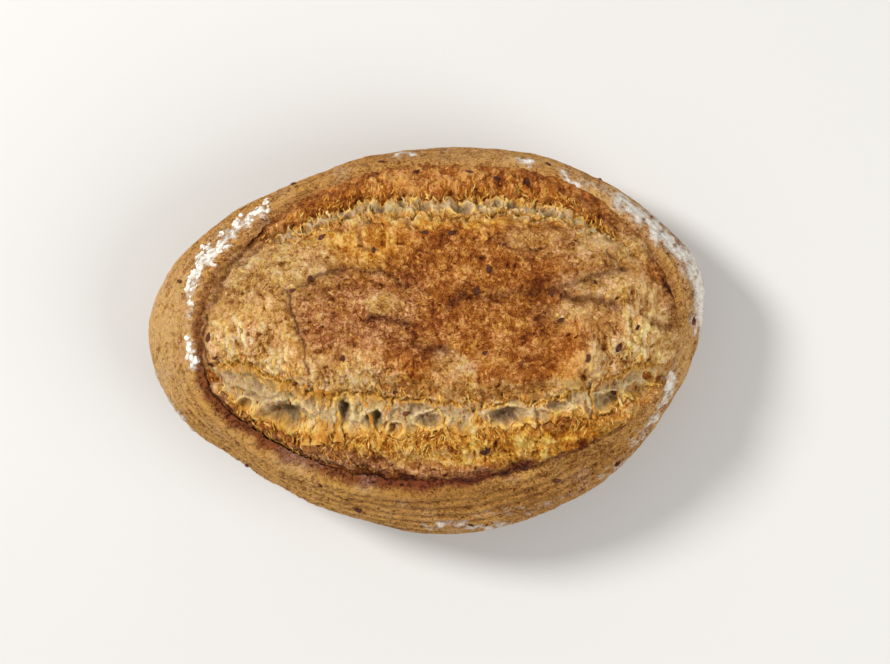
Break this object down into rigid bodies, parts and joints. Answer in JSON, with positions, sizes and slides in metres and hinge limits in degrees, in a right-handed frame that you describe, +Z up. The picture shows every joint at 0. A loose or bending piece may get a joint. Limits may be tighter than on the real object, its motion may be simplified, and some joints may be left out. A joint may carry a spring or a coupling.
{
  "type": "seeded sourdough loaf",
  "caption": "Oval hearth-baked sourdough loaf with a floured skin, a bloomed crown torn open along pale crumb seams, and flax seeds in the crust.",
  "frame": {"origin": "on the flat base, under the middle of the loaf's outline", "axes": "+X along the loaf, +Y across it towards the narrow seam, +Z up"},
  "size_m": [0.2456, 0.1709, 0.0916],
  "materials": {
    "crust": "matt baked crust, golden to dark brown, floured in places",
    "crumb": "soft torn crumb, pale cream with golden strands",
    "seed": "smooth dark brown flax, slightly glossy",
    "flour": "dry matt flour"
  },
  "bodies": {
    "root": {"loaf": "crust"}
  },
  "joints": []
}
